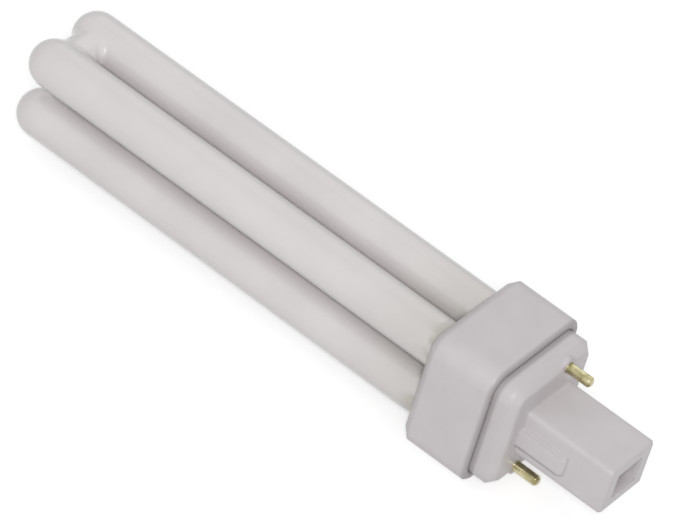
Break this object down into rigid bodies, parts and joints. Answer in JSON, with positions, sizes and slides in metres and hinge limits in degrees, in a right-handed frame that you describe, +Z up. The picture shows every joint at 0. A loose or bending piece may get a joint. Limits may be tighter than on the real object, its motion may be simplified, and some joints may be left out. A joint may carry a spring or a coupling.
{
  "type": "u shaped fluorescent bulb",
  "caption": "Plug-in compact fluorescent lamp: bent white glass legs bridged at their domed tips, in a white moulded collar and a pin cap with a hollow post.",
  "frame": {"origin": "centre of the cap's seat face, on the lamp's axis, midway between the contact pins", "axes": "+X along the lamp from the glass tips towards the plug, +Y across, +Z up as the lamp lies on one flat side of its collar"},
  "size_m": [0.1521, 0.03, 0.03],
  "materials": {
    "coated_glass": "clear glass with a white coating inside, glossy",
    "white_moulding": "satin white moulded plastic",
    "pin_brass": "turned brass",
    "clear_glass": "clear glass",
    "dipped_capacitor": "dipped resin",
    "cement": "rough set cement",
    "lead_insulation": "insulated wire"
  },
  "bodies": {
    "root": {"discharge_tube": "coated_glass", "collar_shell": "white_moulding", "cap_base": "white_moulding", "contact_pin_upper": "pin_brass", "contact_pin_lower": "pin_brass", "glow_starter_bottle": "clear_glass", "suppression_capacitor": "dipped_capacitor", "tube_cement": "cement", "pin_lead_upper": "lead_insulation", "pin_lead_lower": "lead_insulation", "starter_lead_upper": "lead_insulation", "starter_lead_lower": "lead_insulation"}
  },
  "joints": []
}
